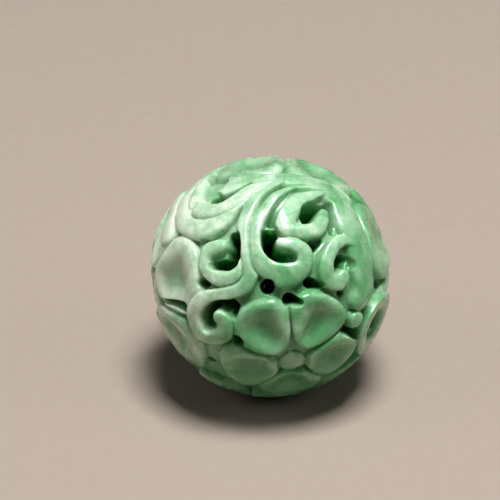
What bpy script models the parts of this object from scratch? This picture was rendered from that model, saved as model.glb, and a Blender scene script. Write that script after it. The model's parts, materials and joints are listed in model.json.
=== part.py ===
# Jade bead: a hollow openwork ball with five-petalled flowers and scrollwork between them.
# One stone, carved all round, pierced down to its hollow middle, with a string hole right through
# and a small flat spot underneath that it rests on. Metres, +Z up, origin at the flat spot's centre.
# Directions from the ball's centre are (azimuth, elevation) in degrees; azimuth 0 is -Y, towards +X.
# The carving is laid out in degrees of the ball's surface, so it keeps its layout at any diameter.

import math

import bmesh
import bpy
import numpy as np

# The ball
BEAD_DIAMETER = 0.0200
WALL = 0.0040               # from the ball's surface down to the hollow
FLAT_SPOT_DIAMETER = 0.0038
FOOT_BOSS_DIAMETER = 0.0052

# The string hole
BORE_DIAMETER = 0.0024
BORE_MOUTH = (65.0, -13.5)
LAND_DIAMETER = 0.0056      # plain flat ring round each mouth
FUNNEL_DEPTH = 0.0006       # how far each mouth is eased
FUNNEL_FLARE = 0.0003       # how much wider it gets there, on the radius
CUTTER_REACH = 1.2          # how far the cutter runs, as a share of the ball's radius
CUTTER_SPREAD = 1.3         # how wide it is over a land, as a share of the land's radius

# Depths of the carving below the ball's surface
GROUND_DEPTH = 0.00080
GROOVE_DEPTH = 0.00038      # beside a scroll or a petal that lies over something
SCROLL_ROUNDING = 0.00010   # from a scroll's crest to its edge, for each degree of its half width
PETAL_DEPTH = 0.00010       # of a petal's rim
DISH_DEPTH = 0.00075        # in the middle of a petal
PETAL_EDGE_FALL = 0.00080   # from the rim down to the outer edge
PETAL_SIDE_FALL = 0.00040   # from the rim down to the next petal
PETAL_TILT = 0.00008        # one side of a petal lies lower than the other
BUTTON_DEPTH = 0.00050
BUTTON_FALL = 0.00035
PIERCING_OVERCUT = 0.0008   # how far a piercing runs on into the hollow

# Steepness of the carved walls, metres of depth for each degree of the surface
WALL_STEEPNESS = 0.0015
GROOVE_STEEPNESS = 0.00040   # on the far side of a groove
SCROLL_SQUARENESS = 2.8     # 2 gives a round edge, more a flatter top and a tighter edge
PETAL_RIM_SQUARENESS = 2
PIERCING_SQUARENESS = 4
EDGE_LIMIT = 0.98           # keeps a rounded edge from ending upright

# Layout of the front scrollwork: its middle, and the flower that its lower edge faces
SCROLL_CENTRE = (3.2, 53.8)
# Each flower: direction, bearing of its first petal, reach of its petals
FLOWERS = {
    "front": ((11.1, -14.5), 52.0, 37.5),
    "left": ((-81, -2), 74.0, 49.0),
    "right": ((111.0, 1.5), 101.0, 50.0),
    "top": ((170.5, 51.6), 57.0, 47.0),
}
PETALS = 5
PETAL_SHARE = 0.99          # of a petal's own fifth that it fills
PETAL_MIDDLE = 0.62         # as shares of the flower's reach
PETAL_FOOT = 0.215
PETAL_SQUARENESS = 2.5
PETAL_EDGE_SCALE = 0.36     # turns a petal's own measure of its edge into degrees
RIM_PLACE = 0.78            # share of the way from a petal's middle to its edge
BUTTON_SHARE = 0.165        # radius as a share of the flower's reach

# Scrolls as (right, up, half width) in degrees about the middle of the scrollwork, lowest first.
# The two last numbers are how many of a scroll's end points stand up again over the piercings, and
# how many of the stretches between its points its groove takes to come in.
SCROLLS = [
    ("crown", [(-15, 34, 1.5), (0, 29.5, 4.2), (16, 26, 5.4), (31.5, 23.5, 5), (42, 18, 4)], 0, 1.5),
    ("wedge", [(-23, 25.4, 2), (-18.2, 28.1, 4), (-12.8, 30.2, 4.8), (-6, 30.7, 4.6), (4, 29, 3)], 0, 9),
    ("limb", [(-49, 55, 4.5), (-54, 37, 6), (-58, 22, 6)], 0, 1),
    ("shoulder", [(-33, 47, 5), (-37.5, 41, 6.5), (-39, 32, 6)], 0, 9),
    ("wrap", [(-24, 47, 1.6), (-35.5, 46.5, 3.4), (-43, 38, 4.6), (-45.5, 28.3, 5), (-43.5, 18, 5.4),
              (-36.5, 10.2, 5), (-29, 8.8, 5.2), (-22.5, 11.5, 5), (-16, 16, 4), (-9, 19.5, 3)], 0, 5),
    ("leaf", [(3, 25, 2.2), (-6.8, 23, 3.4), (-13, 19.6, 3.8), (-20.5, 17, 3.8), (-27, 17.4, 4.1),
              (-32, 19.8, 4.7), (-34.6, 22.8, 5.2)], 0, 4),
    ("outer", [(26, 21.6, 3.5), (32.7, 17.5, 6), (37.6, 11.5, 8), (40.8, 3, 8.8), (43.6, -7, 8.4),
               (45.6, -19, 7.4), (46, -31, 6.6), (42.5, -40, 5.4)], 0, 2),
    ("bud", [(40.5, -50.3, 4)], 0, 0.1),
    ("broad", [(38, 18.5, 1.2), (26, 17, 1.9), (15.5, 13, 4.3), (7, 6.5, 6.1), (6.3, -1.4, 4.7),
               (12.3, -4.5, 3.5), (19.3, -3.8, 3.9), (23.5, 1.4, 3.6), (24.7, 4.7, 2.4)], 3, 1.5),
    ("hook", [(40, -10, 1.9), (33.5, -8.4, 3.3), (26.4, -13.7, 3.4), (22.4, -20.8, 3.5),
              (22.6, -28, 4), (28.4, -29.5, 4), (31.6, -27.2, 3.5)], 2, 1.5),
    ("curl", [(-17, -11.3, 1.9), (-20, -17.8, 3.4), (-28, -20, 4.4), (-35, -15.2, 4), (-36.6, -8, 3),
              (-33.2, -3, 3.8), (-28, -3, 3.5)], 2, 1.5),
    ("strand", [(9, 24.8, 1.2), (-2.3, 19.8, 2.4), (-10, 11.5, 3), (-14.2, 3, 3.4), (-15.9, -6.3, 3.6),
                (-15.2, -14.7, 3.5), (-16, -21.6, 3.4), (-22, -26.3, 3.3), (-32, -26.8, 3.2),
                (-43.4, -25.7, 3.4), (-51, -30.3, 3.9), (-52.2, -38.5, 3.9), (-46.6, -45.7, 4),
                (-37.5, -46.6, 4.4), (-33.8, -41, 4.3), (-36, -36.6, 3.3)], 3, 2),
    ("sweep", [(27.7, 18.4, 0.5), (17.8, 20.6, 1.2), (7.2, 17.4, 2.1), (-2.2, 10.6, 2.8), (-8, 1.7, 3.3),
               (-10, -8, 3.9), (-8, -17.3, 5.3), (-0.2, -24, 6.6), (9, -21.7, 5.5), (12, -15, 4),
               (7.5, -10.3, 3.2), (1.6, -8.6, 2.4)], 3, 1),
]
# Piercings and the slopes that lead into them as (right, up, half width, share of the way down)
PIERCINGS = {
    "under the wedge": [(-27.5, 26, 3.5, 1), (-23.8, 23.4, 3.2, 1), (-20, 22.4, 1.5, 0.4),
                        (-6, 27, 0.4, 0.1)],
    "in the curl": [(-20.5, -0.5, 3, 1), (-22, -6.8, 3.4, 1), (-25, -12.5, 3, 1), (-32, -11.5, 2.4, 0.6)],
    "in the strand": [(-27.5, -39, 1.2, 0.4), (-27.5, -34, 2.4, 1), (-36.3, -32.3, 3.4, 1),
                      (-43, -34.4, 3.4, 0.6), (-45, -40, 2.6, 0.3)],
    "in the sweep": [(-3, -4, 3.8, 1), (-3.6, -10, 3.8, 1), (-0.5, -14.8, 2.9, 0.7), (6, -16, 2.2, 0.3)],
    "beside the sweep": [(27.3, 18.7, 0.3, 0.05), (17.5, 19.2, 0.8, 0.09), (9.8, 15.9, 1.3, 0.13),
                         (2.8, 9.7, 1.8, 0.2), (-1.3, 2.8, 2, 0.35)],
    "in the broad scroll": [(17.5, 2, 3, 1), (18, 5.5, 4.2, 1), (22, 8, 3.8, 0.9), (28, 9, 3.4, 0.3)],
    "beside the broad scroll": [(29.6, 6, 1.6, 0.3), (29.9, 1, 1.6, 0.4), (29.6, -3.5, 1.2, 0.3)],
    "in the hook": [(29, -22, 3.6, 1), (33.5, -19.5, 3.4, 0.6), (37, -21, 3, 0.2)],
    "right of the sweep": [(16.8, -12, 2.9, 1), (21.5, -8.6, 2, 0.3)],
    "below the sweep": [(-9, -28.2, 3.6, 1)],
    "below the broad scroll": [(13.6, -29.6, 3, 1), (18, -30.9, 2, 0.4)],
    "above the front flower": [(1.4, -36.3, 2.9, 1), (6, -38, 1.6, 0.4)],
    "left of the curl": [(-35, 1.5, 2.6, 0.5)],
    "left of the strand": [(-41, -18, 2.6, 0.5)],
    "below the strand": [(-30.6, -51.7, 3.2, 0.5)],
    "below the hook": [(31.8, -35.6, 2, 0.5)],
    "between the petals at the bud": [(33, -56, 1.6, 0.3), (48, -60, 2, 0.4)],
    "between the left petals": [(-79, -11, 0.5, 0.2), (-65.5, -19.3, 1.6, 0.3), (-57, -26, 2.6, 0.4)],
    "where the left petals meet the flower": [(-57.5, -63.3, 2.2, 0.5)],
    "between the right petals": [(65, -28, 2.6, 0.5)],
}
# Plain leaves between the flowers on the hidden sides: direction, heading, length, half width
LEAVES = [
    ((20, -62), 0, 36, 6.5),
    ((60, -50), 60, 34, 6.5),
    ((104, -56), 110, 30, 6),
    ((-149, 8), 35, 36, 7.5),
    ((-168, -8), 75, 36, 8),
    ((-141, -16), 15, 38, 8),
    ((-118, -22), 80, 34, 7),
    ((172, -18), 115, 34, 7),
    ((-100, 36), 75, 28, 6),
    ((-38, -56), 125, 34, 7),
]
LEAF_GROOVE_START = 0.5
VEIN_WIDTH = 0.7
VEIN_DEPTH = 0.00035

# Fineness of the model
CURVE_STEPS = 5             # short straight lengths between two points of a scroll
BALL_SUBDIVISIONS = 8
CARVED_FACES = 7600
BORE_SIDES = 32
HOLLOW_SIDES = 28

JADE = (0.36, 0.62, 0.42, 1.0)

BEAD_RADIUS = BEAD_DIAMETER / 2
HOLLOW_RADIUS = BEAD_RADIUS - WALL
CENTRE_HEIGHT = math.sqrt(BEAD_RADIUS ** 2 - (FLAT_SPOT_DIAMETER / 2) ** 2)
PIERCED_DEPTH = WALL + PIERCING_OVERCUT


def unit(vector):
    return np.asarray(vector, float) / np.linalg.norm(vector)


def direction(azimuth, elevation):
    """Unit vector of a direction; azimuth 0 looks towards -Y and grows towards +X."""
    turn = math.radians(azimuth)
    lift = math.radians(elevation)
    return np.array([math.sin(turn) * math.cos(lift), -math.cos(turn) * math.cos(lift), math.sin(lift)])


def pattern_frames():
    """Right, up and outward axes of the scrollwork in front, and of its copy on the far half."""
    outward = direction(*SCROLL_CENTRE)
    lower = direction(*FLOWERS["front"][0])
    up = -unit(lower - lower.dot(outward) * outward)
    right = np.cross(up, outward)
    return [(right, up, outward), (-right, up, -outward)]


def smooth_path(points):
    """Catmull-Rom curve through the points, which may carry widths and depths along."""
    points = np.array(points, float)
    if len(points) == 1:
        return np.vstack([points, points])
    padded = np.vstack([2 * points[0] - points[1], points, 2 * points[-1] - points[-2]])
    share = (np.arange(CURVE_STEPS) / CURVE_STEPS)[:, None]
    spans = []
    for before, start, end, after in zip(padded, padded[1:], padded[2:], padded[3:]):
        bend = 2 * before - 5 * start + 4 * end - after
        twist = 3 * start - before - 3 * end + after
        spans.append(start + 0.5 * share * (end - before + share * (bend + share * twist)))
    return np.vstack(spans + [points[-1:]])


def on_ball(path, frame):
    """Unit vectors of points given as degrees right and up of the frame's middle."""
    right, up, outward = frame
    away = np.hypot(path[:, 0], path[:, 1])
    turn = np.radians(away)[:, None]
    flat = (path[:, :1] * right + path[:, 1:2] * up) / np.maximum(away, 1e-9)[:, None]
    return outward * np.cos(turn) + flat * np.sin(turn)


def measure(directions, path, frame, margin):
    """Nearby points, their distance outside the path's edge, and its values and place next to each."""
    places = on_ball(path, frame)
    middle = unit(places.mean(axis=0))
    reach = math.acos(min(1.0, (places @ middle).min())) + math.radians(path[:, 2].max() + margin)
    near = np.flatnonzero(directions @ middle > math.cos(min(reach, math.pi)))
    here = directions[near]
    best = np.full(len(near), np.inf)
    values = np.zeros((len(near), path.shape[1] - 1))
    path = np.column_stack([path, np.arange(len(path)) / CURVE_STEPS])
    for start, end, low, high in zip(places, places[1:], path, path[1:]):
        step = end - start
        along = np.clip((here - start) @ step / max(step @ step, 1e-12), 0, 1)
        gap = np.linalg.norm(here - start - along[:, None] * step, axis=1)
        value = low[2:] + along[:, None] * (high - low)[2:]
        outside = np.degrees(gap) - value[:, 0]
        better = outside < best
        best[better] = outside[better]
        values[better] = value[better]
    return near, best, values


def rounded(share, squareness):
    """Fall of a rounded edge, from 0 in the middle to nearly 1 at the edge."""
    return 1 - (1 - EDGE_LIMIT * share ** squareness) ** (1 / squareness)


def flower_heights(directions, place, bearing, reach):
    """Surface of one flower, and the distance outside its petals: dished petals about a button."""
    outward = direction(*place)
    scroll = direction(*SCROLL_CENTRE)
    up = unit(scroll - scroll.dot(outward) * outward)
    right = np.cross(up, outward)
    away = np.degrees(np.arccos(np.clip(directions @ outward, -1, 1))) / reach
    angle = np.degrees(np.arctan2(directions @ up, directions @ right)) - bearing
    fifth = 360 / PETALS
    across = (np.mod(angle + fifth / 2, fifth) - fifth / 2) / (PETAL_SHARE * fifth / 2)
    outer = (away - PETAL_MIDDLE) / (1 - PETAL_MIDDLE)
    inner = np.clip((PETAL_MIDDLE - away) / (PETAL_MIDDLE - PETAL_FOOT), 0, None) ** 2
    side = np.abs(across) ** PETAL_SQUARENESS
    end = np.maximum(outer, inner) ** PETAL_SQUARENESS
    edge = (side + end) ** (1 / PETAL_SQUARENESS)
    dish = -DISH_DEPTH * (0.5 + 0.5 * np.cos(math.pi * np.clip(edge / RIM_PLACE, 0, 1)))
    beyond = np.clip((edge - RIM_PLACE) / (1 - RIM_PLACE), 0, 1)
    fall = PETAL_EDGE_FALL + (PETAL_SIDE_FALL - PETAL_EDGE_FALL) * side / np.maximum(side + end, 1e-9)
    rim = PETAL_TILT * (across - 1) - PETAL_DEPTH
    petals = rim + dish - fall * rounded(beyond, PETAL_RIM_SQUARENESS)
    button = -BUTTON_DEPTH - BUTTON_FALL * np.clip(away / BUTTON_SHARE, 0, 1) ** 2
    outside = np.minimum((edge - 1) * PETAL_EDGE_SCALE, away - BUTTON_SHARE) * reach
    return np.where(away < BUTTON_SHARE, button, petals), outside


def add_flower(heights, directions, place, bearing, reach):
    """Lay one flower over what is there, with a groove round each petal and the button."""
    surface, outside = flower_heights(directions, place, bearing, reach)
    groove = -GROOVE_DEPTH + GROOVE_STEEPNESS * np.clip(outside, 0, None)
    heights[:] = np.where(outside < 0, surface, np.minimum(heights, groove))


def add_scroll(heights, directions, path, frame, groove_start=None):
    """Lay one scroll over what is there, with a groove beside it that comes in along its start."""
    near, outside, values = measure(directions, path, frame, GROOVE_DEPTH / GROOVE_STEEPNESS)
    width = values[:, 0]
    if groove_start:
        begun = np.clip(values[:, -1] / groove_start, 0, 1)
        groove = -GROOVE_DEPTH * begun + GROOVE_STEEPNESS * np.clip(outside, 0, None)
        heights[near] = np.minimum(heights[near], groove)
    middle = np.clip(1 + outside / width, 0, 1)
    crest = -SCROLL_ROUNDING * width * rounded(middle, SCROLL_SQUARENESS)
    heights[near] = np.maximum(heights[near], crest - WALL_STEEPNESS * np.clip(outside, 0, None))


def add_piercing(heights, directions, path, frame):
    """Cut one piercing, with the slope that leads into it."""
    near, outside, values = measure(directions, path, frame, 0)
    inside = outside < 0
    near, outside, values = near[inside], outside[inside], values[inside]
    middle = 1 + outside / values[:, 0]
    cut = -PIERCED_DEPTH * values[:, 1] * (1 - rounded(middle, PIERCING_SQUARENESS))
    heights[near] = np.minimum(heights[near], cut)


def add_leaf(heights, directions, place, heading, length, half_width):
    """Lay one pointed leaf with a vein down its middle."""
    outward = direction(*place)
    right = unit(np.cross((0, 0, 1), outward))
    frame = (right, np.cross(outward, right), outward)
    turn = math.radians(heading)
    shares = [(-0.5, 0.1), (-0.25, 0.8), (0, 1), (0.25, 0.8), (0.5, 0.1)]
    path = smooth_path([(share * length * math.cos(turn), share * length * math.sin(turn), wide * half_width)
                        for share, wide in shares])
    add_scroll(heights, directions, path, frame, LEAF_GROOVE_START)
    path[:, 2] = VEIN_WIDTH
    near, outside, _ = measure(directions, path[CURVE_STEPS:], frame, 0)
    heights[near] = np.minimum(heights[near], VEIN_DEPTH * np.clip(outside, -VEIN_WIDTH, 0) / VEIN_WIDTH)


def add_boss(heights, directions, outward, diameter):
    """Leave a plain round of full height."""
    radius = math.degrees(diameter / 2 / BEAD_RADIUS)
    away = np.degrees(np.arccos(np.clip(directions @ outward, -1, 1)))
    heights[:] = np.maximum(heights, -WALL_STEEPNESS * np.clip(away - radius, 0, None))


def add_scrollwork(heights, directions, frame):
    """Lay the scrolls over one another, pierce between them, and stand their tips up again."""
    paths = [(smooth_path(points), tip, start) for _, points, tip, start in SCROLLS]
    for path, _, start in paths:
        add_scroll(heights, directions, path, frame, start)
    for points in PIERCINGS.values():
        add_piercing(heights, directions, smooth_path(points), frame)
    for path, tip, _ in paths:
        if tip:
            add_scroll(heights, directions, path[-1 - (round(tip) - 1) * CURVE_STEPS:], frame)


def carved_heights(directions):
    """Height of the carved surface over the plain ball, for each direction."""
    heights = np.full(len(directions), -GROUND_DEPTH)
    front, back = pattern_frames()
    add_scrollwork(heights, directions, back)
    for leaf in LEAVES:
        add_leaf(heights, directions, *leaf)
    for place, bearing, reach in FLOWERS.values():
        add_flower(heights, directions, place, bearing, reach)
    add_scrollwork(heights, directions, front)
    mouth = direction(*BORE_MOUTH)
    for outward in (mouth, -mouth):
        add_boss(heights, directions, outward, LAND_DIAMETER)
    add_boss(heights, directions, np.array([0.0, 0.0, -1.0]), FOOT_BOSS_DIAMETER)
    return heights


def new_collection(name):
    collection = bpy.data.collections.new(name)
    bpy.context.scene.collection.children.link(collection)
    return collection


def move_to(item, collection):
    for other in list(item.users_collection):
        other.objects.unlink(item)
    collection.objects.link(item)


def jade_material():
    material = bpy.data.materials.new("jade")
    material.use_nodes = True
    shader = material.node_tree.nodes["Principled BSDF"]
    shader.inputs["Base Color"].default_value = JADE
    shader.inputs["Roughness"].default_value = 0.25
    shader.inputs["Metallic"].default_value = 0.0
    return material


def carved_ball(collection):
    """A ball of small triangles, each corner moved in to the carved surface."""
    bpy.ops.mesh.primitive_ico_sphere_add(subdivisions=BALL_SUBDIVISIONS, radius=BEAD_RADIUS)
    ball = bpy.context.object
    ball.name = "bead"
    ball.data.name = "bead"
    move_to(ball, collection)
    corners = np.empty(3 * len(ball.data.vertices))
    ball.data.vertices.foreach_get("co", corners)
    directions = corners.reshape(-1, 3)
    directions /= np.linalg.norm(directions, axis=1)[:, None]
    radii = BEAD_RADIUS + carved_heights(directions)
    places = directions * radii[:, None] + np.array([0.0, 0.0, CENTRE_HEIGHT])
    ball.data.vertices.foreach_set("co", places.ravel())
    ball.data.update()
    thin = ball.modifiers.new("fewer faces", "DECIMATE")
    thin.ratio = CARVED_FACES / len(ball.data.polygons)
    return ball


def as_cutter(item, name, collection):
    item.name = name
    item.hide_render = True
    item.display_type = "WIRE"
    move_to(item, collection)
    return item


def hollow_cutter(collection):
    bpy.ops.mesh.primitive_uv_sphere_add(
        segments=HOLLOW_SIDES, ring_count=HOLLOW_SIDES // 2, radius=HOLLOW_RADIUS,
        location=(0, 0, CENTRE_HEIGHT))
    return as_cutter(bpy.context.object, "hollow", collection)


def bore_cutter(collection):
    """Turned cutter: the straight bore, the eased mouths and the flat lands outside them."""
    land = LAND_DIAMETER / 2
    bore = BORE_DIAMETER / 2
    face = math.sqrt(BEAD_RADIUS ** 2 - land ** 2)
    clear = BEAD_RADIUS * CUTTER_REACH
    half = [(land * CUTTER_SPREAD, clear), (land * CUTTER_SPREAD, face),
            (bore + FUNNEL_FLARE, face), (bore, face - FUNNEL_DEPTH)]
    profile = half + [(radius, -height) for radius, height in reversed(half)]
    outline = bmesh.new()
    corners = [outline.verts.new((radius, 0, height)) for radius, height in profile]
    corners.insert(0, outline.verts.new((0, 0, clear)))
    corners.append(outline.verts.new((0, 0, -clear)))
    for start, end in zip(corners, corners[1:]):
        outline.edges.new((start, end))
    mesh = bpy.data.meshes.new("string hole")
    outline.to_mesh(mesh)
    outline.free()
    cutter = bpy.data.objects.new("string hole", mesh)
    collection.objects.link(cutter)
    turn = cutter.modifiers.new("turned", "SCREW")
    turn.angle = 2 * math.pi
    turn.steps = BORE_SIDES
    turn.render_steps = BORE_SIDES
    turn.use_merge_vertices = True
    turn.merge_threshold = 0.00001
    cutter.location = (0, 0, CENTRE_HEIGHT)
    azimuth, elevation = BORE_MOUTH
    cutter.rotation_euler = (math.radians(90 - elevation), 0, math.radians(azimuth))
    return as_cutter(cutter, "string hole", collection)


def flat_cutter(collection):
    bpy.ops.mesh.primitive_cube_add(size=BEAD_DIAMETER, location=(0, 0, -BEAD_DIAMETER / 2))
    return as_cutter(bpy.context.object, "flat spot", collection)


def cut(item, cutter):
    boolean = item.modifiers.new(cutter.name, "BOOLEAN")
    boolean.operation = "DIFFERENCE"
    boolean.solver = "EXACT"
    boolean.object = cutter


def build_bead():
    for item in list(bpy.data.objects):
        bpy.data.objects.remove(item)
    parts = new_collection("jade bead")
    cutters = new_collection("cutters")
    bead = carved_ball(parts)
    for cutter in (hollow_cutter(cutters), bore_cutter(cutters), flat_cutter(cutters)):
        cut(bead, cutter)
    bead.data.materials.append(jade_material())
    bead.data.shade_smooth()


build_bead()
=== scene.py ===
# The looks of the jade bead: its polished, pierced and carved surface, the mottled stone,
# a pale table, soft light and a camera at the photograph's angle. Metres, +Z up.
# Directions from the ball's centre are (azimuth, elevation) in degrees; azimuth 0 is -Y, towards +X.

import json
import math

import bmesh
import bpy
import numpy as np
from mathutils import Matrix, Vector

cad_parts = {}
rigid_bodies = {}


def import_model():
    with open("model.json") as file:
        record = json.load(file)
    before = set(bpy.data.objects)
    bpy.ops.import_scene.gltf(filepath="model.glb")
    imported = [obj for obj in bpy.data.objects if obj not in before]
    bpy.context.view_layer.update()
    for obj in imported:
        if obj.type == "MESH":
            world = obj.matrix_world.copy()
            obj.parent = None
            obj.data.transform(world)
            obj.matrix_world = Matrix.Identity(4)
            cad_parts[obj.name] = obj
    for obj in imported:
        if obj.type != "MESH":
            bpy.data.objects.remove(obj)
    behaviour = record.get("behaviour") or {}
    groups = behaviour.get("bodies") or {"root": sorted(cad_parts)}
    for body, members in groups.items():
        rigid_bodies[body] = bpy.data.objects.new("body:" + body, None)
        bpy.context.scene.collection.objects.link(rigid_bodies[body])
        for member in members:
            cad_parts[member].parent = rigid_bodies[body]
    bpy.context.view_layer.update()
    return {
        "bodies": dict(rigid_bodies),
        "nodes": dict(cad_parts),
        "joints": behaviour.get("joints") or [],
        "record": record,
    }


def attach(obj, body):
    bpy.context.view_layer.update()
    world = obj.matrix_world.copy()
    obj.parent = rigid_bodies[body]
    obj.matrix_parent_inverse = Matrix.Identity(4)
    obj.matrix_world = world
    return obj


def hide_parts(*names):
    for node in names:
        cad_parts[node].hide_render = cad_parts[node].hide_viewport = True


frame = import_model()

# The ball
BEAD_DIAMETER = 0.0200
WALL = 0.0040               # from the ball's surface down to the hollow
FLAT_SPOT_DIAMETER = 0.0038
FOOT_BOSS_DIAMETER = 0.0052

# The string hole
BORE_DIAMETER = 0.0024
BORE_MOUTH = (65.0, -13.5)
LAND_DIAMETER = 0.0056      # plain flat ring round each mouth
FUNNEL_DEPTH = 0.0006       # how far each mouth is eased
FUNNEL_FLARE = 0.0003       # how much wider it gets there, on the radius
CUTTER_REACH = 1.2          # how far the cutter runs, as a share of the ball's radius
CUTTER_SPREAD = 1.3         # how wide it is over a land, as a share of the land's radius

# Depths of the carving below the ball's surface
GROUND_DEPTH = 0.00080
GROOVE_DEPTH = 0.00038      # beside a scroll or a petal that lies over something
SCROLL_ROUNDING = 0.00010   # from a scroll's crest to its edge, for each degree of its half width
PETAL_DEPTH = 0.00010       # of a petal's rim
DISH_DEPTH = 0.00075        # in the middle of a petal
PETAL_EDGE_FALL = 0.00080   # from the rim down to the outer edge
PETAL_SIDE_FALL = 0.00040   # from the rim down to the next petal
PETAL_TILT = 0.00008        # one side of a petal lies lower than the other
BUTTON_DEPTH = 0.00036
BUTTON_FALL = 0.00022
PIERCING_OVERCUT = 0.0008   # how far a piercing runs on into the hollow
UNEVENNESS = 0.00003        # of a surface cut by hand

# Steepness of the carved walls, metres of depth for each degree of the surface
WALL_STEEPNESS = 0.0015
GROOVE_STEEPNESS = 0.00040  # on the far side of a groove
SCROLL_SQUARENESS = 2.8     # 2 gives a round edge, more a flatter top and a tighter edge
PETAL_RIM_SQUARENESS = 2
PIERCING_SQUARENESS = 4
EDGE_LIMIT = 0.98           # keeps a rounded edge from ending upright
WANDER = 0.35               # degrees that an outline strays from its drawing
WANDER_SWELL = 22           # degrees from one straying to the next
WANDER_SEEDS = (11, 12, 13)
UNEVEN_SWELL = 9
UNEVEN_SEED = 21

# Layout of the front scrollwork: its middle, and the flower that its lower edge faces
SCROLL_CENTRE = (3.2, 53.8)
# Each flower: direction, bearing of its first petal, reach of its petals
FLOWERS = {
    "front": ((11.1, -14.5), 52.0, 37.5),
    "left": ((-81, -2), 74.0, 49.0),
    "right": ((111.0, 1.5), 101.0, 50.0),
    "top": ((170.5, 51.6), 57.0, 47.0),
}
PETALS = 5
PETAL_SHARE = 0.99          # of a petal's own fifth that it fills
PETAL_MIDDLE = 0.62         # as shares of the flower's reach
PETAL_FOOT = 0.195
PETAL_SQUARENESS = 2.5
PETAL_EDGE_SCALE = 0.36     # turns a petal's own measure of its edge into degrees
RIM_PLACE = 0.78            # share of the way from a petal's middle to its edge
BUTTON_SHARE = 0.185        # radius as a share of the flower's reach
BUTTON_DROP = 0.085         # of the reach, away from the scrolls

# Scrolls as (right, up, half width) in degrees about the middle of the scrollwork, lowest first.
# The two last numbers are how many of a scroll's end points stand up again over the piercings, and
# how many of the stretches between its points its groove takes to come in.
SCROLLS = [
    ("crown", [(-15, 34, 1.5), (0, 29.5, 4.2), (16, 26, 5.4), (31.5, 23.5, 5), (42, 18, 4)], 0, 1.5),
    ("wedge", [(-23, 25.4, 2), (-18.2, 28.1, 4), (-12.8, 30.2, 4.8), (-6, 30.7, 4.6), (4, 29, 3)], 0, 9),
    ("limb", [(-49, 55, 4.5), (-54, 37, 6), (-58, 22, 6)], 0, 1),
    ("shoulder", [(-33, 47, 5), (-37.5, 41, 6.5), (-39, 32, 6)], 0, 9),
    ("wrap", [(-24, 47, 1.6), (-35.5, 46.5, 3.4), (-43, 38, 4.6), (-45.5, 28.3, 5), (-43.5, 18, 5.4),
              (-36.5, 10.2, 5), (-29, 8.8, 5.2), (-22.5, 11.5, 5), (-16, 16, 4), (-9, 19.5, 3)], 0, 5),
    ("leaf", [(3, 25, 2.2), (-6.8, 23, 3.4), (-13, 19.6, 3.8), (-20.5, 17, 3.8), (-27, 17.4, 4.1),
              (-32, 19.8, 4.7), (-34.6, 22.8, 5.2)], 0, 4),
    ("outer", [(26, 21.6, 3.5), (32.7, 17.5, 6), (37.6, 11.5, 8), (40.8, 3, 8.8), (43.6, -7, 8.4),
               (45.6, -19, 7.4), (46, -31, 6.6), (42.5, -40, 5.4)], 0, 2),
    ("bud", [(40.5, -50.3, 4)], 0, 0.1),
    ("broad", [(38, 18.5, 1.2), (26, 17, 1.9), (15.5, 13, 4.3), (7, 6.5, 6.1), (6.3, -1.4, 4.7),
               (12.3, -4.5, 3.5), (19.3, -3.8, 3.9), (23.5, 1.4, 3.6), (24.7, 4.7, 2.4)], 3, 1.5),
    ("hook", [(40, -10, 1.9), (33.5, -8.4, 3.3), (26.4, -13.7, 3.4), (22.4, -20.8, 3.5),
              (22.6, -28, 4), (28.4, -29.5, 4), (31.6, -27.2, 3.5)], 2, 1.5),
    ("curl", [(-17, -11.3, 1.9), (-20, -17.8, 3.4), (-28, -20, 4.4), (-35, -15.2, 4), (-36.6, -8, 3),
              (-33.2, -3, 3.8), (-28, -3, 3.5)], 2, 1.5),
    ("strand", [(9, 24.8, 1.2), (-2.3, 19.8, 2.4), (-10, 11.5, 3), (-14.2, 3, 3.4), (-15.9, -6.3, 3.6),
                (-15.2, -14.7, 3.5), (-16, -21.6, 3.4), (-22, -26.3, 3.3), (-32, -26.8, 3.2),
                (-43.4, -25.7, 3.4), (-51, -30.3, 3.9), (-52.2, -38.5, 3.9), (-46.6, -45.7, 4),
                (-37.5, -46.6, 4.4), (-33.8, -41, 4.3), (-36, -36.6, 3.3)], 3, 2),
    ("sweep", [(27.7, 18.4, 0.5), (17.8, 20.6, 1.2), (7.2, 17.4, 2.1), (-2.2, 10.6, 2.8), (-8, 1.7, 3.3),
               (-10, -8, 3.9), (-8, -17.3, 5.3), (-0.2, -24, 6.6), (9, -21.7, 5.5), (12, -15, 4),
               (7.5, -10.3, 3.2), (1.6, -8.6, 2.4)], 3, 1),
]
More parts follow.
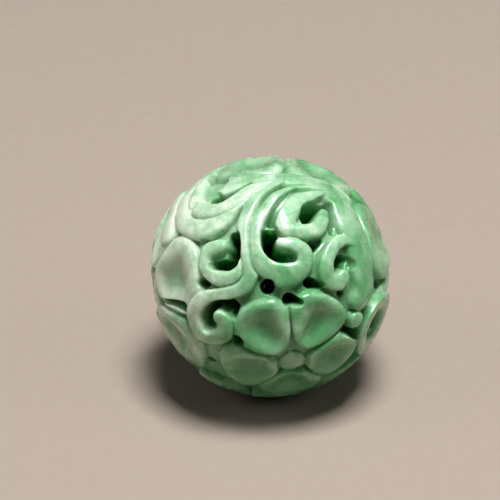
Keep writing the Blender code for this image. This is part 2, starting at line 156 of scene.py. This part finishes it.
# Piercings and the slopes that lead into them as (right, up, half width, share of the way down)
PIERCINGS = {
    "under the wedge": [(-27.5, 26, 3.5, 1), (-23.8, 23.4, 3.2, 1), (-20, 22.4, 1.5, 0.4),
                        (-6, 27, 0.4, 0.1)],
    "in the curl": [(-20.5, -0.5, 3, 1), (-22, -6.8, 3.4, 1), (-25, -12.5, 3, 1), (-32, -11.5, 2.4, 0.6)],
    "in the strand": [(-27.5, -39, 1.2, 0.4), (-27.5, -34, 2.4, 1), (-36.3, -32.3, 3.4, 1),
                      (-43, -34.4, 3.4, 0.6), (-45, -40, 2.6, 0.3)],
    "in the sweep": [(-3, -4, 3.8, 1), (-3.6, -10, 3.8, 1), (-0.5, -14.8, 2.9, 0.7), (6, -16, 2.2, 0.3)],
    "beside the sweep": [(27.3, 18.7, 0.3, 0.05), (17.5, 19.2, 0.8, 0.09), (9.8, 15.9, 1.3, 0.13),
                         (2.8, 9.7, 1.8, 0.2), (-1.3, 2.8, 2, 0.35)],
    "in the broad scroll": [(17.5, 2, 3, 1), (18, 5.5, 4.2, 1), (22, 8, 3.8, 0.9), (28, 9, 3.4, 0.3)],
    "beside the broad scroll": [(29.6, 6, 1.6, 0.3), (29.9, 1, 1.6, 0.4), (29.6, -3.5, 1.2, 0.3)],
    "in the hook": [(29, -22, 3.6, 1), (33.5, -19.5, 3.4, 0.6), (37, -21, 3, 0.2)],
    "right of the sweep": [(16.8, -12, 2.9, 1), (21.5, -8.6, 2, 0.3)],
    "below the sweep": [(-9, -28.2, 3.6, 1)],
    "below the broad scroll": [(13.6, -29.6, 3, 1), (18, -30.9, 2, 0.4)],
    "above the front flower": [(1.4, -36.3, 2.9, 1), (6, -38, 1.6, 0.4)],
    "left of the curl": [(-35, 1.5, 2.6, 0.5)],
    "left of the strand": [(-41, -18, 2.6, 0.5)],
    "below the strand": [(-30.6, -51.7, 3.2, 0.5)],
    "below the hook": [(31.8, -35.6, 2, 0.5)],
    "between the petals at the bud": [(33, -56, 1.6, 0.3), (48, -60, 2, 0.4)],
    "between the left petals": [(-79, -11, 0.5, 0.2), (-65.5, -19.3, 1.6, 0.3), (-57, -26, 2.6, 0.4)],
    "where the left petals meet the flower": [(-57.5, -63.3, 2.2, 0.5)],
    "between the right petals": [(65, -28, 2.6, 0.5)],
}
# Plain leaves between the flowers on the hidden sides: direction, heading, length, half width
LEAVES = [
    ((20, -62), 0, 36, 6.5),
    ((60, -50), 60, 34, 6.5),
    ((104, -56), 110, 30, 6),
    ((-149, 8), 35, 36, 7.5),
    ((-168, -8), 75, 36, 8),
    ((-141, -16), 15, 38, 8),
    ((-118, -22), 80, 34, 7),
    ((172, -18), 115, 34, 7),
    ((-100, 36), 75, 28, 6),
    ((-38, -56), 125, 34, 7),
]
# A leaf's half width along it, as (share of the length from its middle, share of the half width)
LEAF_SHAPE = [(-0.5, 0.1), (-0.25, 0.8), (0, 1), (0.25, 0.8), (0.5, 0.1)]
LEAF_GROOVE_START = 0.5
VEIN_WIDTH = 0.7
VEIN_DEPTH = 0.00035

# Fineness of the model
CURVE_STEPS = 8
WAVE_COUNT = 8
BALL_SUBDIVISIONS = 9
CARVED_FACES = 186000
POLISH_PASSES = 4
POLISH_STRENGTH = 0.5
BORE_SIDES = 96
HOLLOW_SIDES = 64
WELD = 0.00001              # how near corners of the turned cutter are joined

BEAD_RADIUS = BEAD_DIAMETER / 2
HOLLOW_RADIUS = BEAD_RADIUS - WALL
CENTRE_HEIGHT = math.sqrt(BEAD_RADIUS ** 2 - (FLAT_SPOT_DIAMETER / 2) ** 2)
PIERCED_DEPTH = WALL + PIERCING_OVERCUT


def unit(vector):
    return np.asarray(vector, float) / np.linalg.norm(vector)


def direction(azimuth, elevation):
    """Unit vector of a direction; azimuth 0 looks towards -Y and grows towards +X."""
    turn = math.radians(azimuth)
    lift = math.radians(elevation)
    return np.array([math.sin(turn) * math.cos(lift), -math.cos(turn) * math.cos(lift), math.sin(lift)])


def pattern_frames():
    """Right, up and outward axes of the scrollwork in front, and of its copy on the far half."""
    outward = direction(*SCROLL_CENTRE)
    lower = direction(*FLOWERS["front"][0])
    up = -unit(lower - lower.dot(outward) * outward)
    right = np.cross(up, outward)
    return [(right, up, outward), (-right, up, -outward)]


def smooth_path(points):
    """Catmull-Rom curve through the points, which may carry widths and depths along."""
    points = np.array(points, float)
    if len(points) == 1:
        return np.vstack([points, points])
    padded = np.vstack([2 * points[0] - points[1], points, 2 * points[-1] - points[-2]])
    share = (np.arange(CURVE_STEPS) / CURVE_STEPS)[:, None]
    spans = []
    for before, start, end, after in zip(padded, padded[1:], padded[2:], padded[3:]):
        bend = 2 * before - 5 * start + 4 * end - after
        twist = 3 * start - before - 3 * end + after
        spans.append(start + 0.5 * share * (end - before + share * (bend + share * twist)))
    return np.vstack(spans + [points[-1:]])


def on_ball(path, frame):
    """Unit vectors of points given as degrees right and up of the frame's middle."""
    right, up, outward = frame
    away = np.hypot(path[:, 0], path[:, 1])
    turn = np.radians(away)[:, None]
    flat = (path[:, :1] * right + path[:, 1:2] * up) / np.maximum(away, 1e-9)[:, None]
    return outward * np.cos(turn) + flat * np.sin(turn)


def measure(directions, path, frame, margin):
    """Nearby points, their distance outside the path's edge, and its values and place next to each."""
    places = on_ball(path, frame)
    middle = unit(places.mean(axis=0))
    reach = math.acos(min(1.0, (places @ middle).min())) + math.radians(path[:, 2].max() + margin)
    near = np.flatnonzero(directions @ middle > math.cos(min(reach, math.pi)))
    here = directions[near]
    best = np.full(len(near), np.inf)
    values = np.zeros((len(near), path.shape[1] - 1))
    path = np.column_stack([path, np.arange(len(path)) / CURVE_STEPS])
    for start, end, low, high in zip(places, places[1:], path, path[1:]):
        step = end - start
        along = np.clip((here - start) @ step / max(step @ step, 1e-12), 0, 1)
        gap = np.linalg.norm(here - start - along[:, None] * step, axis=1)
        value = low[2:] + along[:, None] * (high - low)[2:]
        outside = np.degrees(gap) - value[:, 0]
        better = outside < best
        best[better] = outside[better]
        values[better] = value[better]
    return near, best, values


def rounded(share, squareness):
    """Fall of a rounded edge, from 0 in the middle to nearly 1 at the edge."""
    return 1 - (1 - EDGE_LIMIT * share ** squareness) ** (1 / squareness)


def flower_heights(directions, place, bearing, reach):
    """Surface of one flower, and the distance outside its petals: dished petals about a button."""
    outward = direction(*place)
    scroll = direction(*SCROLL_CENTRE)
    up = unit(scroll - scroll.dot(outward) * outward)
    right = np.cross(up, outward)
    away = np.degrees(np.arccos(np.clip(directions @ outward, -1, 1))) / reach
    angle = np.degrees(np.arctan2(directions @ up, directions @ right)) - bearing
    fifth = 360 / PETALS
    across = (np.mod(angle + fifth / 2, fifth) - fifth / 2) / (PETAL_SHARE * fifth / 2)
    outer = (away - PETAL_MIDDLE) / (1 - PETAL_MIDDLE)
    inner = np.clip((PETAL_MIDDLE - away) / (PETAL_MIDDLE - PETAL_FOOT), 0, None) ** 2
    side = np.abs(across) ** PETAL_SQUARENESS
    end = np.maximum(outer, inner) ** PETAL_SQUARENESS
    edge = (side + end) ** (1 / PETAL_SQUARENESS)
    dish = -DISH_DEPTH * (0.5 + 0.5 * np.cos(math.pi * np.clip(edge / RIM_PLACE, 0, 1)))
    beyond = np.clip((edge - RIM_PLACE) / (1 - RIM_PLACE), 0, 1)
    fall = PETAL_EDGE_FALL + (PETAL_SIDE_FALL - PETAL_EDGE_FALL) * side / np.maximum(side + end, 1e-9)
    rim = PETAL_TILT * (across - 1) - PETAL_DEPTH
    petals = rim + dish - fall * rounded(beyond, PETAL_RIM_SQUARENESS)
    heart = unit(outward - math.radians(BUTTON_DROP * reach) * up)
    apart = np.degrees(np.arccos(np.clip(directions @ heart, -1, 1))) / reach - BUTTON_SHARE
    button = -BUTTON_DEPTH - BUTTON_FALL * np.clip(1 + apart / BUTTON_SHARE, 0, 1) ** 2
    ring = GROOVE_STEEPNESS * np.clip(apart, 0, None) * reach - BUTTON_DEPTH - GROOVE_DEPTH
    outside = np.minimum((edge - 1) * PETAL_EDGE_SCALE, apart) * reach
    return np.where(apart < 0, button, np.minimum(petals, ring)), outside


def add_flower(heights, directions, place, bearing, reach):
    """Lay one flower over what is there, with a groove round each petal and the button."""
    surface, outside = flower_heights(directions, place, bearing, reach)
    groove = -GROOVE_DEPTH + GROOVE_STEEPNESS * np.clip(outside, 0, None)
    heights[:] = np.where(outside < 0, surface, np.minimum(heights, groove))


def add_scroll(heights, directions, path, frame, groove_start=None):
    """Lay one scroll over what is there, with a groove beside it that comes in along its start."""
    near, outside, values = measure(directions, path, frame, GROOVE_DEPTH / GROOVE_STEEPNESS)
    width = values[:, 0]
    if groove_start:
        begun = np.clip(values[:, -1] / groove_start, 0, 1)
        groove = -GROOVE_DEPTH * begun + GROOVE_STEEPNESS * np.clip(outside, 0, None)
        heights[near] = np.minimum(heights[near], groove)
    middle = np.clip(1 + outside / width, 0, 1)
    crest = -SCROLL_ROUNDING * width * rounded(middle, SCROLL_SQUARENESS)
    heights[near] = np.maximum(heights[near], crest - WALL_STEEPNESS * np.clip(outside, 0, None))


def add_piercing(heights, directions, path, frame):
    """Cut one piercing, with the slope that leads into it."""
    near, outside, values = measure(directions, path, frame, 0)
    inside = outside < 0
    near, outside, values = near[inside], outside[inside], values[inside]
    middle = 1 + outside / values[:, 0]
    cut = -PIERCED_DEPTH * values[:, 1] * (1 - rounded(middle, PIERCING_SQUARENESS))
    heights[near] = np.minimum(heights[near], cut)


def add_leaf(heights, directions, place, heading, length, half_width):
    """Lay one pointed leaf with a vein down its middle."""
    outward = direction(*place)
    right = unit(np.cross((0, 0, 1), outward))
    frame = (right, np.cross(outward, right), outward)
    turn = math.radians(heading)
    across = length * math.cos(turn)
    along = length * math.sin(turn)
    path = smooth_path([(share * across, share * along, wide * half_width) for share, wide in LEAF_SHAPE])
    add_scroll(heights, directions, path, frame, LEAF_GROOVE_START)
    path[:, 2] = VEIN_WIDTH
    near, outside, _ = measure(directions, path[CURVE_STEPS:], frame, 0)
    heights[near] = np.minimum(heights[near], VEIN_DEPTH * np.clip(outside, -VEIN_WIDTH, 0) / VEIN_WIDTH)


def add_boss(heights, directions, outward, diameter):
    """Leave a plain round of full height."""
    radius = math.degrees(diameter / 2 / BEAD_RADIUS)
    away = np.degrees(np.arccos(np.clip(directions @ outward, -1, 1)))
    heights[:] = np.maximum(heights, -WALL_STEEPNESS * np.clip(away - radius, 0, None))


def add_scrollwork(heights, directions, frame):
    """Lay the scrolls over one another, pierce between them, and stand their tips up again."""
    paths = [(smooth_path(points), tip, start) for _, points, tip, start in SCROLLS]
    for path, _, start in paths:
        add_scroll(heights, directions, path, frame, start)
    for points in PIERCINGS.values():
        add_piercing(heights, directions, smooth_path(points), frame)
    for path, tip, _ in paths:
        if tip:
            add_scroll(heights, directions, path[-1 - (round(tip) - 1) * CURVE_STEPS:], frame)


def waves(directions, size, seed):
    """Gentle, fixed unevenness between about -1 and 1; size is the length of its swells in degrees."""
    total = np.zeros(len(directions))
    draw = np.random.default_rng(seed)
    for _ in range(WAVE_COUNT):
        across = unit(draw.normal(size=3)) * 360 / size
        total += np.sin(directions @ across + draw.uniform(0, 2 * math.pi))
    return total / math.sqrt(WAVE_COUNT)


def strayed(directions):
    """The same directions moved about a little, as a hand strays from its drawing."""
    shift = np.stack([waves(directions, WANDER_SWELL, seed) for seed in WANDER_SEEDS], axis=1)
    moved = directions + math.radians(WANDER) * shift
    return moved / np.linalg.norm(moved, axis=1)[:, None]


def carved_heights(true_directions):
    """Height of the carved surface over the plain ball, for each direction."""
    directions = strayed(true_directions)
    heights = np.full(len(directions), -GROUND_DEPTH)
    front, back = pattern_frames()
    add_scrollwork(heights, directions, back)
    for leaf in LEAVES:
        add_leaf(heights, directions, *leaf)
    for place, bearing, reach in FLOWERS.values():
        add_flower(heights, directions, place, bearing, reach)
    add_scrollwork(heights, directions, front)
    heights += UNEVENNESS * (waves(directions, UNEVEN_SWELL, UNEVEN_SEED) - 1)
    mouth = direction(*BORE_MOUTH)
    for outward in (mouth, -mouth):
        add_boss(heights, true_directions, outward, LAND_DIAMETER)
    add_boss(heights, true_directions, np.array([0.0, 0.0, -1.0]), FOOT_BOSS_DIAMETER)
    return heights


def new_collection(name):
    collection = bpy.data.collections.new(name)
    bpy.context.scene.collection.children.link(collection)
    return collection


def move_to(item, collection):
    for other in list(item.users_collection):
        other.objects.unlink(item)
    collection.objects.link(item)


def as_cutter(item, name, collection):
    item.name = name
    item.hide_render = True
    item.display_type = "WIRE"
    move_to(item, collection)
    return item


def hollow_cutter(collection):
    bpy.ops.mesh.primitive_uv_sphere_add(
        segments=HOLLOW_SIDES, ring_count=HOLLOW_SIDES // 2, radius=HOLLOW_RADIUS,
        location=(0, 0, CENTRE_HEIGHT))
    return as_cutter(bpy.context.object, "hollow", collection)


def bore_cutter(collection):
    """Turned cutter: the straight bore, the eased mouths and the flat lands outside them."""
    land = LAND_DIAMETER / 2
    bore = BORE_DIAMETER / 2
    face = math.sqrt(BEAD_RADIUS ** 2 - land ** 2)
    clear = BEAD_RADIUS * CUTTER_REACH
    half = [(land * CUTTER_SPREAD, clear), (land * CUTTER_SPREAD, face),
            (bore + FUNNEL_FLARE, face), (bore, face - FUNNEL_DEPTH)]
    profile = half + [(radius, -height) for radius, height in reversed(half)]
    outline = bmesh.new()
    corners = [outline.verts.new((radius, 0, height)) for radius, height in profile]
    corners.insert(0, outline.verts.new((0, 0, clear)))
    corners.append(outline.verts.new((0, 0, -clear)))
    for start, end in zip(corners, corners[1:]):
        outline.edges.new((start, end))
    mesh = bpy.data.meshes.new("string hole")
    outline.to_mesh(mesh)
    outline.free()
    cutter = bpy.data.objects.new("string hole", mesh)
    collection.objects.link(cutter)
    turn = cutter.modifiers.new("turned", "SCREW")
    turn.angle = 2 * math.pi
    turn.steps = BORE_SIDES
    turn.render_steps = BORE_SIDES
    turn.use_merge_vertices = True
    turn.merge_threshold = WELD
    cutter.location = (0, 0, CENTRE_HEIGHT)
    azimuth, elevation = BORE_MOUTH
    cutter.rotation_euler = (math.radians(90 - elevation), 0, math.radians(azimuth))
    return as_cutter(cutter, "string hole", collection)


def flat_cutter(collection):
    bpy.ops.mesh.primitive_cube_add(size=BEAD_DIAMETER, location=(0, 0, -BEAD_DIAMETER / 2))
    return as_cutter(bpy.context.object, "flat spot", collection)


def cut(item, cutter):
    boolean = item.modifiers.new(cutter.name, "BOOLEAN")
    boolean.operation = "DIFFERENCE"
    boolean.solver = "EXACT"
    boolean.object = cutter


def carved_ball(collection):
    """A ball of small triangles, each corner moved in to the carved surface, then polished."""
    bpy.ops.mesh.primitive_ico_sphere_add(subdivisions=BALL_SUBDIVISIONS, radius=BEAD_RADIUS)
    ball = bpy.context.object
    move_to(ball, collection)
    corners = np.empty(3 * len(ball.data.vertices))
    ball.data.vertices.foreach_get("co", corners)
    directions = corners.reshape(-1, 3)
    directions /= np.linalg.norm(directions, axis=1)[:, None]
    radii = BEAD_RADIUS + carved_heights(directions)
    places = directions * radii[:, None] + np.array([0.0, 0.0, CENTRE_HEIGHT])
    ball.data.vertices.foreach_set("co", places.ravel())
    ball.data.update()
    polish = ball.modifiers.new("polish", "SMOOTH")
    polish.factor = POLISH_STRENGTH
    polish.iterations = POLISH_PASSES
    thin = ball.modifiers.new("fewer faces", "DECIMATE")
    thin.ratio = CARVED_FACES / len(ball.data.polygons)
    return ball


def settled(item):
    """The object's mesh with its modifiers applied."""
    depsgraph = bpy.context.evaluated_depsgraph_get()
    mesh = bpy.data.meshes.new_from_object(item.evaluated_get(depsgraph))
    item.modifiers.clear()
    item.data = mesh
    return item


def carved_bead():
    parts = new_collection("jade bead")
    cutters = new_collection("cutters")
    bead = settled(carved_ball(parts))
    for cutter in (hollow_cutter(cutters), bore_cutter(cutters), flat_cutter(cutters)):
        cut(bead, cutter)
    settled(bead)
    for cutter in list(cutters.objects):
        bpy.data.objects.remove(cutter)
    bead.name = "carved_bead"
    bead.data.name = "carved_bead"
    bead.data.shade_smooth()
    return bead


class Nodes:
    """Short way to add and join shader nodes in one material."""

    def __init__(self, name):
        self.material = bpy.data.materials.new(name)
        self.material.use_nodes = True
        self.tree = self.material.node_tree
        self.shader = self.tree.nodes["Principled BSDF"]

    def add(self, kind, **settings):
        node = self.tree.nodes.new(kind)
        for name, value in settings.items():
            setattr(node, name, value)
        return node

    def join(self, source, target):
        self.tree.links.new(source, target)

    def noise(self, place, scale, detail, roughness, distortion):
        node = self.add("ShaderNodeTexNoise")
        node.inputs["Scale"].default_value = scale
        node.inputs["Detail"].default_value = detail
        node.inputs["Roughness"].default_value = roughness
        node.inputs["Distortion"].default_value = distortion
        self.join(place, node.inputs["Vector"])
        return node.outputs["Fac"]

    def span(self, value, low, high, start=0.0, end=1.0):
        node = self.add("ShaderNodeMapRange", interpolation_type="SMOOTHSTEP")
        self.join(value, node.inputs["Value"])
        for name, number in (("From Min", low), ("From Max", high), ("To Min", start), ("To Max", end)):
            node.inputs[name].default_value = number
        return node.outputs["Result"]

    def mix(self, share, first, second):
        node = self.add("ShaderNodeMix", data_type="RGBA")
        self.join(share, node.inputs["Factor"])
        for socket, colour in ((node.inputs[6], first), (node.inputs[7], second)):
            if isinstance(colour, tuple):
                socket.default_value = colour
            else:
                self.join(colour, socket)
        return node.outputs[2]

    def maths(self, operation, *values):
        node = self.add("ShaderNodeMath", operation=operation)
        for socket, value in zip(node.inputs, values):
            if isinstance(value, (int, float)):
                socket.default_value = value
            else:
                self.join(value, socket)
        return node.outputs[0]


# The stone's colours, and the deep green of painted shade down in the carving
WHITE_JADE = (0.60, 0.68, 0.55, 1)
PALE_JADE = (0.35, 0.51, 0.355, 1)
MID_JADE = (0.100, 0.30, 0.125, 1)
DEEP_SHADE_JADE = (0.016, 0.19, 0.028, 1)
SHEEN_JADE = (0.40, 0.85, 0.52, 1)
# Its clouds, flecks and fine grain as noise: scale, detail, roughness, distortion
CLOUDS = (210, 5, 0.65, 0.5)
FLECKS = (520, 6, 0.65, 0.2)
FINE_GRAIN = (2600, 3, 0.6, 0.0)
# How much one side (a direction from the middle: paler stone there, with painted light towards it and
# painted shade away from it), the left and right ends, the flecks and the fine grain add to the clouds,
# and how pale the stone then has to be to turn from green to white
PALE_AND_LIT_SIDE = (-62, 45)
PALE_AND_LIT_SIDE_SHARE = 0.28
ENDS_SHARE = 0.24
FLECK_SHARE = 0.65
GRAIN_SHARE = 0.4
PALE_SPAN = (0.77, 1.17)
WHITE_SPAN = (1.25, 1.53)
WHITE_LIMIT = 0.85
# Depths below the ball's surface between which painted shade turns the dips and the deep carving greener
DIP_SHADE_DEPTHS = (0.0002, 0.0011)
DIP_SHADE_LIMIT = 0.6
DEEP_SHADE_DEPTHS = (0.0004, 0.0024)
# The polish is duller where the flecks are
FLECK_SPAN = (0.3, 0.7)
POLISH_ROUGHNESS = (0.22, 0.36)
JADE_INDEX = 1.55
COAT_WEIGHT = 0.5
COAT_ROUGHNESS = 0.06
GLOW_WEIGHT = 0.8
GLOW_REACH = 0.0011
GLOW_COLOURS = (0.45, 1.0, 0.5)
GRAIN_STRENGTH = 0.3
GRAIN_DEPTH = 0.00006


def below_surface(nodes, length, depths, most):
    """Share of painted shade that grows with depth, from nothing at the first depth to the most at the
    second.
    """
    shallow, deep = depths
    return nodes.span(length, BEAD_RADIUS - deep, BEAD_RADIUS - shallow, most, 0.0)


def jade_colour(jade, place, clouds, flecks, fine):
    """White, pale and middling green in clouds, paler towards one side partly as painted light, and
    painted shade: greener in the dips, deep green down in the carving.
    """
    middle = jade.add("ShaderNodeVectorMath", operation="SUBTRACT")
    jade.join(place, middle.inputs[0])
    middle.inputs[1].default_value = (0, 0, CENTRE_HEIGHT)
    length = jade.add("ShaderNodeVectorMath", operation="LENGTH")
    jade.join(middle.outputs[0], length.inputs[0])
    side = jade.add("ShaderNodeVectorMath", operation="DOT_PRODUCT")
    jade.join(middle.outputs[0], side.inputs[0])
    side.inputs[1].default_value = tuple(direction(*PALE_AND_LIT_SIDE) / BEAD_RADIUS)
    parts = jade.add("ShaderNodeSeparateXYZ")
    jade.join(middle.outputs[0], parts.inputs[0])
    ends = jade.maths("POWER", jade.maths("DIVIDE", parts.outputs["X"], BEAD_RADIUS), 2.0)
    # the side term: paler stone towards the upper left, with painted light there and painted shade
    # towards the lower right
    pale_stone_and_light = jade.maths("MULTIPLY_ADD", side.outputs["Value"], PALE_AND_LIT_SIDE_SHARE, clouds)
    pale_stone_and_light = jade.maths("MULTIPLY_ADD", ends, ENDS_SHARE, pale_stone_and_light)
    pale_stone_and_light = jade.maths("MULTIPLY_ADD", flecks, FLECK_SHARE, pale_stone_and_light)
    white_stone_and_light = jade.maths("MULTIPLY_ADD", fine, GRAIN_SHARE, pale_stone_and_light)
    body = jade.mix(jade.span(pale_stone_and_light, *PALE_SPAN), MID_JADE, PALE_JADE)
    body = jade.mix(jade.span(white_stone_and_light, *WHITE_SPAN, 0.0, WHITE_LIMIT), body, WHITE_JADE)
    # painted shade: the dips turn to the middling green
    body = jade.mix(below_surface(jade, length.outputs["Value"], DIP_SHADE_DEPTHS, DIP_SHADE_LIMIT), body, MID_JADE)
    # painted shade: deep green down in the carving
    return jade.mix(below_surface(jade, length.outputs["Value"], DEEP_SHADE_DEPTHS, 1.0), body, DEEP_SHADE_JADE)


def jade_material():
    """Polished jadeite: a clear skin over stone that light goes a little way into."""
    jade = Nodes("jade")
    place = jade.add("ShaderNodeTexCoord").outputs["Object"]
    clouds = jade.noise(place, *CLOUDS)
    flecks = jade.noise(place, *FLECKS)
    fine = jade.noise(place, *FINE_GRAIN)
    sockets = jade.shader.inputs
    jade.join(jade_colour(jade, place, clouds, flecks, fine), sockets["Base Color"])
    jade.join(jade.span(flecks, *FLECK_SPAN, *POLISH_ROUGHNESS), sockets["Roughness"])
    sockets["IOR"].default_value = JADE_INDEX
    sockets["Specular Tint"].default_value = SHEEN_JADE
    sockets["Coat Weight"].default_value = COAT_WEIGHT
    sockets["Coat Roughness"].default_value = COAT_ROUGHNESS
    sockets["Subsurface Weight"].default_value = GLOW_WEIGHT
    sockets["Subsurface Radius"].default_value = GLOW_COLOURS
    sockets["Subsurface Scale"].default_value = GLOW_REACH
    bump = jade.add("ShaderNodeBump")
    bump.inputs["Strength"].default_value = GRAIN_STRENGTH
    bump.inputs["Distance"].default_value = GRAIN_DEPTH
    jade.join(jade.maths("ADD", fine, flecks), bump.inputs["Height"])
    jade.join(bump.outputs["Normal"], sockets["Normal"])
    jade.join(bump.outputs["Normal"], sockets["Coat Normal"])
    return jade.material


# The table: a pale, plain top with a slight grain
TABLE_SIZE = 1.2
TABLE_CLEARANCE = 0.00002
TABLE_DARK = (0.275, 0.225, 0.185, 1)
TABLE_LIGHT = (0.285, 0.235, 0.195, 1)
TABLE_GRAIN = (900, 4, 0.6, 0.0)
TABLE_SPAN = (0.3, 0.7)
TABLE_ROUGHNESS = 0.85


def floor_material():
    table = Nodes("table")
    place = table.add("ShaderNodeTexCoord").outputs["Object"]
    grain = table.span(table.noise(place, *TABLE_GRAIN), *TABLE_SPAN)
    table.join(table.mix(grain, TABLE_DARK, TABLE_LIGHT), table.shader.inputs["Base Color"])
    table.shader.inputs["Roughness"].default_value = TABLE_ROUGHNESS
    return table.material


def add_floor():
    bpy.ops.mesh.primitive_plane_add(size=TABLE_SIZE, location=(0, 0, -TABLE_CLEARANCE))
    floor = bpy.context.object
    floor.name = "floor"
    floor.data.materials.append(floor_material())


# The camera: the ball's place and size in the photograph's 500 by 500 pixels, and how far off it stands
PHOTO_SIZE = 500
BALL_X = 270.3
BALL_Y = 275.4
BALL_PIXEL_RADIUS = 122.2
CAMERA_ELEVATION = 30.0
CAMERA_DISTANCE = 0.25
SENSOR = 36.0
NEAREST = 0.01
FARTHEST = 5


def add_camera():
    camera = bpy.data.objects.new("camera", bpy.data.cameras.new("camera"))
    bpy.context.scene.collection.objects.link(camera)
    bpy.context.scene.camera = camera
    half_angle = math.asin(BEAD_RADIUS / CAMERA_DISTANCE)
    lens = BALL_PIXEL_RADIUS * SENSOR / (PHOTO_SIZE * math.tan(half_angle))
    camera.data.sensor_width = SENSOR
    camera.data.lens = lens
    camera.data.clip_start = NEAREST
    camera.data.clip_end = FARTHEST
    towards = Vector(direction(0, CAMERA_ELEVATION))
    middle = Vector((0, 0, CENTRE_HEIGHT))
    camera.location = middle + towards * CAMERA_DISTANCE
    # turned a little, so that the ball stands right of and below the picture's middle
    pixel_angle = SENSOR / lens / PHOTO_SIZE
    turn = math.atan((BALL_X - PHOTO_SIZE / 2) * pixel_angle) / math.cos(math.radians(CAMERA_ELEVATION))
    nod = math.atan((BALL_Y - PHOTO_SIZE / 2) * pixel_angle)
    camera.rotation_euler = (math.radians(90 - CAMERA_ELEVATION) + nod, 0, turn)


# Soft lights: name, azimuth, elevation, distance, width and depth, power
LIGHTS = [
    ("window", 38, 80, 0.5, (0.17, 0.17), 4.6),
    ("left", -75, 38, 0.8, (0.4, 0.4), 0.9),
    ("right", 75, 35, 0.8, (0.4, 0.4), 0.8),
]
ROOM_GREY = (0.80, 0.80, 0.80, 1)
ROOM_STRENGTH = 0.02


def area_light(name, azimuth, elevation, distance, size, power):
    lamp = bpy.data.lights.new(name, "AREA")
    lamp.shape = "RECTANGLE"
    lamp.size, lamp.size_y = size
    lamp.energy = power
    light = bpy.data.objects.new(name, lamp)
    bpy.context.scene.collection.objects.link(light)
    away = Vector(direction(azimuth, elevation))
    light.location = away * distance
    light.rotation_euler = away.to_track_quat("Z", "Y").to_euler()


def add_light():
    for light in LIGHTS:
        area_light(*light)
    world = bpy.data.worlds.new("room")
    world.use_nodes = True
    background = world.node_tree.nodes["Background"]
    background.inputs["Color"].default_value = ROOM_GREY
    background.inputs["Strength"].default_value = ROOM_STRENGTH
    bpy.context.scene.world = world
    bpy.context.scene.view_settings.view_transform = "Standard"


bead = carved_bead()
bead.data.materials.clear()
bead.data.materials.append(jade_material())
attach(bead, "root")
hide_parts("bead")
add_floor()
add_light()
add_camera()
print("bead triangles", len(bead.data.polygons))
